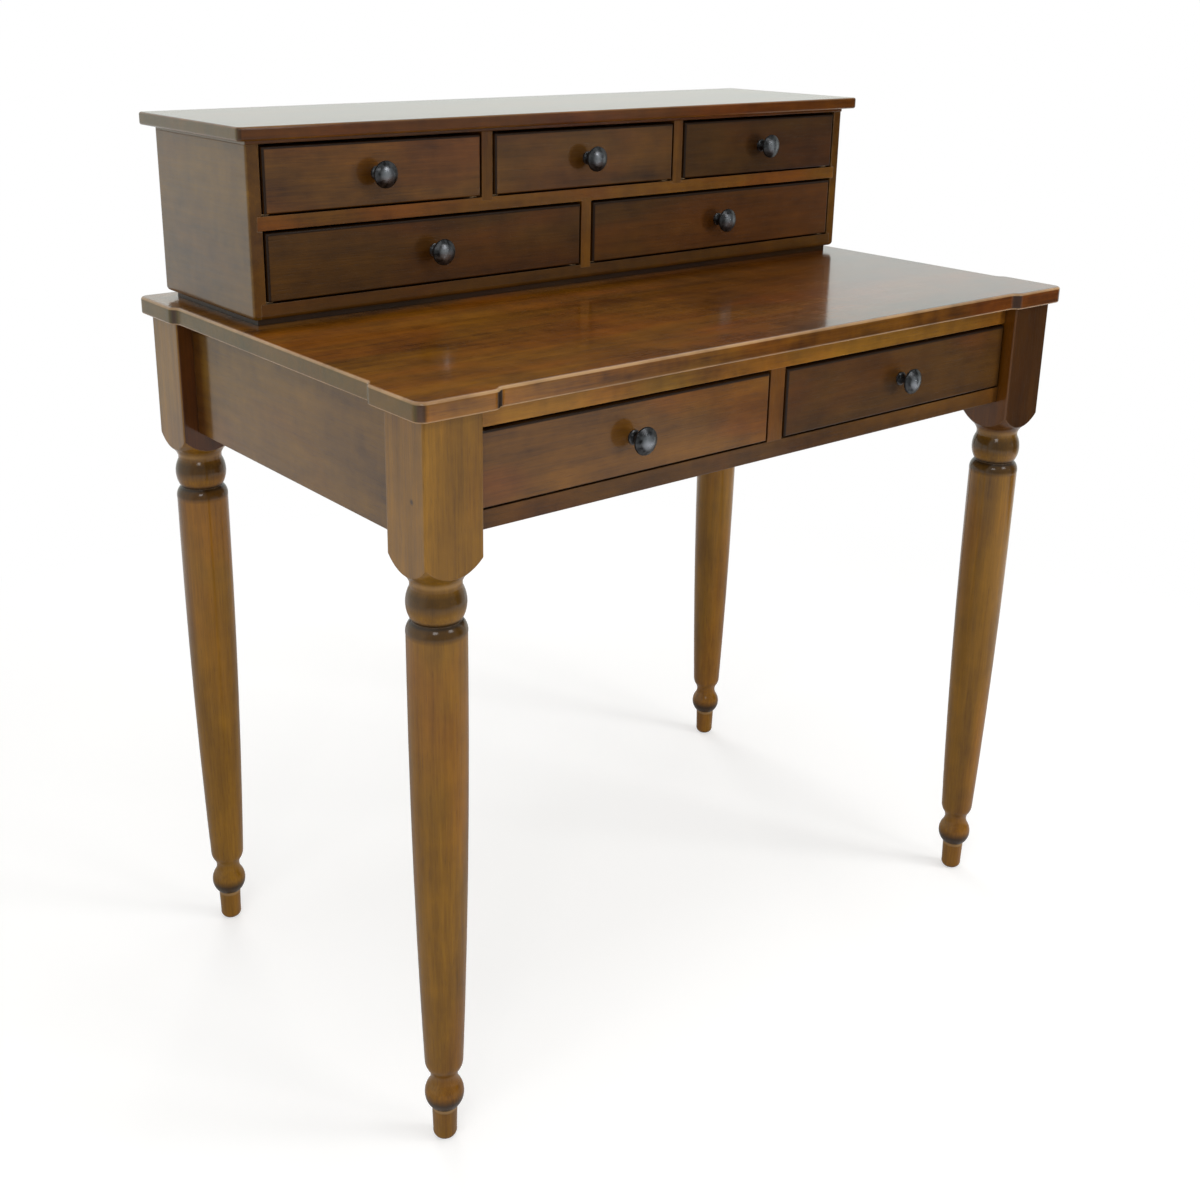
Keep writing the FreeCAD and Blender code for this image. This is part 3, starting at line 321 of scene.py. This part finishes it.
frontTones = {  # tone and coat of each drawer front; the tones fall off to the right as painted shade
    "drawer_left": (0.86, 0.45), "drawer_right": (0.41, 0.2), "gallery_upper_left": (0.75, 0.7),
    "gallery_upper_middle": (0.57, 0.65), "gallery_upper_right": (0.31, 0.25), "gallery_lower_left": (0.37, 0.26),
    "gallery_lower_right": (0.39, 0.25),
}
for drawer, (tone, coat) in frontTones.items():
    low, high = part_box(drawer + "_front")
    finishes[drawer + "_front"] = lacqueredWood(
        drawer + "_frontStainAndShade", {**frontWood, "tone": tone, "coat": coat, "edges": (low[0], high[2])})
print("stained wood mixed")


# bare wood inside the case

bareLayers = {"broad": (0.8, 9.0, 1.5, 0.45, 0.3), "fibre": (14.0, 420.0, 2.0, 0.6), "blotch": (2.5, 6.0, 2.0, 0.5)}


def bareWood(name, wood):
    finish, tree = newFinish(name)
    at, turned, piece = grainCoordinates(tree, wood["along"])
    layers = {layer: fibreNoise(tree, turned, piece, *size) for layer, size in bareLayers.items()}
    rings = spread(tree, sums(tree, "SINE", times(tree, layers["broad"], wood["ringDensity"])), -1.0, 1.0)
    tone = sums(tree, "MULTIPLY_ADD", rings, -wood["rings"], wood["middle"])
    for layer in ("fibre", "blotch"):
        tone = sums(tree, "MULTIPLY_ADD", sums(tree, "SUBTRACT", layers[layer], 0.5), wood[layer], tone)
    colour = blendColour(tree, spread(tree, tone, 0.0, 1.0), wood["dark"], wood["light"])
    rough = spread(tree, layers["fibre"], *reaches["fibre"], *wood["roughness"])
    bump = put(tree, "ShaderNodeBump", {"Strength": wood["grain"], "Distance": wood["grainHeight"],
                                       "Height": layers["fibre"]}).outputs[0]
    shader = put(tree, "ShaderNodeBsdfPrincipled",
                 {"Base Color": colour, "Roughness": rough, "Normal": bump, "Specular IOR Level": wood["sheen"]})
    put(tree, "ShaderNodeOutputMaterial", {"Surface": shader.outputs[0]})
    return finish


drawerWood = {"along": "Y", "light": (0.50, 0.345, 0.20), "dark": (0.34, 0.215, 0.115), "ringDensity": 40.0,
              "rings": 0.3, "middle": 0.6, "fibre": 0.5, "blotch": 0.6, "roughness": (0.54, 0.70), "grain": 0.5,
              "grainHeight": 0.0005, "sheen": 0.35}
plyWood = {**drawerWood, "along": "X", "light": (0.55, 0.41, 0.26), "dark": (0.37, 0.25, 0.14),
           "ringDensity": 30.0, "rings": 0.5, "roughness": (0.50, 0.66)}
plainFinish = bareWood("bareDrawerWood", drawerWood)
plainAcrossFinish = bareWood("bareDrawerWoodAcross", {**drawerWood, "along": "X"})
plyFinish = bareWood("drawerBottomPly", plyWood)
finishes["gallery_back"] = plyFinish
for name in ("drawer_runners", "drawer_kickers", "top_buttons"):
    finishes[name] = plainFinish
for drawer in frontTones:
    finishes[drawer + "_sides"] = plainFinish
    finishes[drawer + "_back"] = plainAcrossFinish
    finishes[drawer + "_bottom"] = plyFinish
print("bare wood mixed")


# dark pewter knobs and plated screws

def castMetal(name, metal):
    finish, tree = newFinish(name)
    at = put(tree, "ShaderNodeTexCoord").outputs["Object"]
    cloud = put(tree, "ShaderNodeTexNoise", {"Vector": at, "Scale": metal["cloud"], "Detail": 3.0}).outputs["Fac"]
    fine = put(tree, "ShaderNodeTexNoise", {"Vector": at, "Scale": metal["fine"], "Detail": 2.0}).outputs["Fac"]
    colour = blendColour(tree, spread(tree, cloud, *metal["cloudReach"]), metal["dark"], metal["light"])
    bevelled = put(tree, "ShaderNodeBevel", {"Radius": metal["edgeRadius"]}, samples=edgeSamples).outputs[0]
    facing = put(tree, "ShaderNodeNewGeometry").outputs["Normal"]
    turnedAway = vectors(tree, "DOT_PRODUCT", bevelled, facing)["Value"]
    # the knob's eased edges show lighter: wear and painted highlight
    rubbed = spread(tree, turnedAway, *metal["wornAndLitTurn"], 0.0, metal["rubbed"])
    colour = blendColour(tree, rubbed, colour, metal["wornAndLit"])
    # tarnish sits on the rounded rim around the rubbed face
    front = vectors(tree, "DOT_PRODUCT", facing, (0, -1, 0))["Value"]
    rim = times(tree, spread(tree, front, *metal["rimStart"]), spread(tree, front, *metal["rimEnd"]))
    colour = blendColour(tree, times(tree, rim, metal["tarnish"]), colour, metal["dark"])
    face = spread(tree, front, *metal["faceTurn"], 0.0, metal["tarnish"])
    colour = blendColour(tree, face, colour, metal["face"])
    rough = spread(tree, cloud, *metal["cloudReach"], *metal["roughness"])
    bump = put(tree, "ShaderNodeBump", {"Strength": metal["pitting"], "Distance": metal["pitDepth"],
                                       "Height": fine}).outputs[0]
    shader = put(tree, "ShaderNodeBsdfPrincipled",
                 {"Base Color": colour, "Metallic": metal["metallic"], "Roughness": rough, "Normal": bump})
    put(tree, "ShaderNodeOutputMaterial", {"Surface": shader.outputs[0]})
    return finish


knobMetal = {"dark": (0.014, 0.014, 0.015), "light": (0.11, 0.113, 0.12), "wornAndLit": (0.36, 0.36, 0.38),
             "face": (0.31, 0.325, 0.355), "tarnish": 0.9, "rimStart": (0.05, 0.35), "rimEnd": (0.9, 0.7),
             "faceTurn": (0.9, 0.99), "cloud": 220.0, "cloudReach": (0.3, 0.7), "fine": 900.0, "pitting": 0.25,
             "pitDepth": 0.0003, "edgeRadius": 0.0008, "rubbed": 0.4, "wornAndLitTurn": (0.99, 0.85),
             "roughness": (0.23, 0.39), "metallic": 0.9}
screwMetal = {**knobMetal, "dark": (0.42, 0.42, 0.43), "light": (0.58, 0.58, 0.6), "wornAndLit": (0.7, 0.7, 0.7),
              "tarnish": 0.0}
knobFinish = castMetal("darkPewter", knobMetal)
screwFinish = castMetal("zincPlate", screwMetal)
for drawer in frontTones:
    finishes[drawer + "_knob"] = knobFinish
for name in ("top_screws", "gallery_screws"):
    finishes[name] = screwFinish
print("metals mixed")


# every piece gets its finish

for index, (name, piece) in enumerate(sorted(nodes.items())):
    piece.data.materials.clear()
    piece.data.materials.append(finishes[name])
    piece.pass_index = index + 1
print("finishes given to", len(nodes), "pieces")


# floor, light and camera

studio = {
    "floorFrom": (-3.0, -2.7), "floorTo": (1.6, 2.4), "floorSquares": 24, "floorColour": (0.62, 0.62, 0.615),
    "floorCloud": 1.5, "floorShade": 0.985, "floorRoughness": 0.8, "floorSheen": 0.2, "floorLift": 0.48,
    "shadowReach": (1.0, 1.5), "roomLevel": 0.32, "roomColour": (1.0, 0.99, 0.97),
    "white": 1.0, "backColour": (0.94, 1.0, 0.965), "dimRoom": 0.42, "darkCorner": 0.03,
    "frontStart": (-0.05, -0.45), "cornerStart": (0.64, 0.70),
}
pureWhite = (1, 1, 1, 1)


def addFloor():
    mesh = bpy.data.meshes.new("studioFloor")
    work = bmesh.new()
    squares = studio["floorSquares"]
    bmesh.ops.create_grid(work, x_segments=squares, y_segments=squares, size=0.5)
    (x0, y0), (x1, y1) = studio["floorFrom"], studio["floorTo"]
    for vertex in work.verts:
        vertex.co.x = (x0 + x1) / 2 + vertex.co.x * (x1 - x0)
        vertex.co.y = (y0 + y1) / 2 + vertex.co.y * (y1 - y0)
    work.to_mesh(mesh)
    work.free()
    floor = bpy.data.objects.new("studioFloor", mesh)
    bpy.context.scene.collection.objects.link(floor)
    finish, tree = newFinish("paleFloor")
    at = put(tree, "ShaderNodeTexCoord").outputs["Object"]
    cloud = put(tree, "ShaderNodeTexNoise", {"Vector": at, "Scale": studio["floorCloud"], "Detail": 2.0})
    darker = tuple(c * studio["floorShade"] for c in studio["floorColour"])
    colour = blendColour(tree, cloud.outputs["Fac"], darker, studio["floorColour"])
    shader = put(tree, "ShaderNodeBsdfPrincipled",
                 {"Base Color": colour, "Roughness": studio["floorRoughness"],
                  "Specular IOR Level": studio["floorSheen"]})
    path = put(tree, "ShaderNodeLightPath").outputs
    seen = sums(tree, "MAXIMUM", path["Is Camera Ray"], path["Is Glossy Ray"])
    lift = times(tree, path["Is Camera Ray"], studio["floorLift"])
    glow = put(tree, "ShaderNodeEmission", {"Color": pureWhite, "Strength": lift})
    both = put(tree, "ShaderNodeAddShader", {0: shader.outputs[0], 1: glow.outputs[0]})
    # past the shadows the floor runs into the white backdrop
    away = put(tree, "ShaderNodeVectorMath", {0: at}, operation="LENGTH").outputs["Value"]
    far = times(tree, seen, spread(tree, away, *studio["shadowReach"]))
    white = put(tree, "ShaderNodeEmission", {"Color": pureWhite, "Strength": 1.0})
    mixed = put(tree, "ShaderNodeMixShader", {0: far, 1: both.outputs[0], 2: white.outputs[0]})
    put(tree, "ShaderNodeOutputMaterial", {"Surface": mixed.outputs[0]})
    mesh.materials.append(finish)


def addRoom():
    room = bpy.data.worlds.new("studioRoom")
    bpy.context.scene.world = room
    room.use_nodes = True
    tree = room.node_tree
    tree.nodes.clear()
    path = put(tree, "ShaderNodeLightPath").outputs
    seen = sums(tree, "MAXIMUM", path["Is Camera Ray"],
                sums(tree, "MAXIMUM", path["Is Glossy Ray"], path["Is Transmission Ray"]))
    # pale backdrop behind and at the sides, a dimmer room in front that is nearly dark at its right
    way = split(tree, put(tree, "ShaderNodeTexCoord").outputs["Generated"])
    ahead = spread(tree, way[0], *studio["cornerStart"], studio["dimRoom"], studio["darkCorner"])
    level = spread(tree, way[1], *studio["frontStart"], studio["white"], ahead)
    level = sums(tree, "MAXIMUM", level, path["Is Camera Ray"])
    tint = blendColour(tree, path["Is Camera Ray"], studio["backColour"], pureWhite[:3])
    backdrop = put(tree, "ShaderNodeBackground", {"Color": tint, "Strength": level})
    fill = put(tree, "ShaderNodeBackground", {"Color": (*studio["roomColour"], 1), "Strength": studio["roomLevel"]})
    mixed = put(tree, "ShaderNodeMixShader", {0: seen, 1: fill.outputs[0], 2: backdrop.outputs[0]})
    put(tree, "ShaderNodeOutputWorld", {"Surface": mixed.outputs[0]})


lamps = {
    "softboxLeft": {"size": (0.75, 0.75), "watts": 12.0, "at": (-1.75, -1.85, 2.35), "aim": (0, 0, 0.6),
                    "glints": True},
    "softboxFront": {"size": (0.75, 0.75), "watts": 11.0, "at": (0.7, -2.3, 2.25), "aim": (0, 0, 0.6),
                     "glints": True},
    "fillLeft": {"size": (1.2, 0.8), "watts": 15.0, "at": (-2.1, -1.0, 0.85), "aim": (-0.1, 0, 0.6), "glints": False},
    "fillRight": {"size": (0.7, 0.7), "watts": 32.0, "at": (1.6, -2.0, 0.85), "aim": (0, 0, 0.65), "glints": False},
    "fillBack": {"size": (1.4, 1.0), "watts": 20.0, "at": (0.7, 2.4, 1.3), "aim": (0, 0, 0.6), "glints": False},
    "overhead": {"size": (2.2, 1.6), "watts": 26.0, "at": (0.0, -0.2, 3.2), "aim": (0.0, -0.2, 0), "glints": False},
}


def addLamp(name, lamp):
    data = bpy.data.lights.new(name, "AREA")
    data.shape = "RECTANGLE"
    data.size, data.size_y = lamp["size"]
    data.energy = lamp["watts"]
    thing = bpy.data.objects.new(name, data)
    bpy.context.scene.collection.objects.link(thing)
    thing.location = lamp["at"]
    thing.rotation_euler = (Vector(lamp["aim"]) - Vector(lamp["at"])).to_track_quat("-Z", "Y").to_euler()
    thing.visible_camera = False
    thing.visible_glossy = lamp["glints"]


view = {
    "at": (-1.05228, -1.2316, 1.06855), "turn": (71.557, -0.612, -38.213), "lens": 44.62, "sensor": 36.0,
    "shift": (0.0333, -0.0917),
}


def addCamera():
    data = bpy.data.cameras.new("studioCamera")
    data.sensor_width = view["sensor"]
    data.lens = view["lens"]
    data.shift_x, data.shift_y = view["shift"]
    camera = bpy.data.objects.new("studioCamera", data)
    bpy.context.scene.collection.objects.link(camera)
    camera.location = view["at"]
    camera.rotation_euler = [math.radians(a) for a in view["turn"]]
    bpy.context.scene.camera = camera


addFloor()
addRoom()
for name, lamp in lamps.items():
    addLamp(name, lamp)
addCamera()
bpy.context.scene.view_settings.view_transform = "Standard"
print("floor, light and camera set")
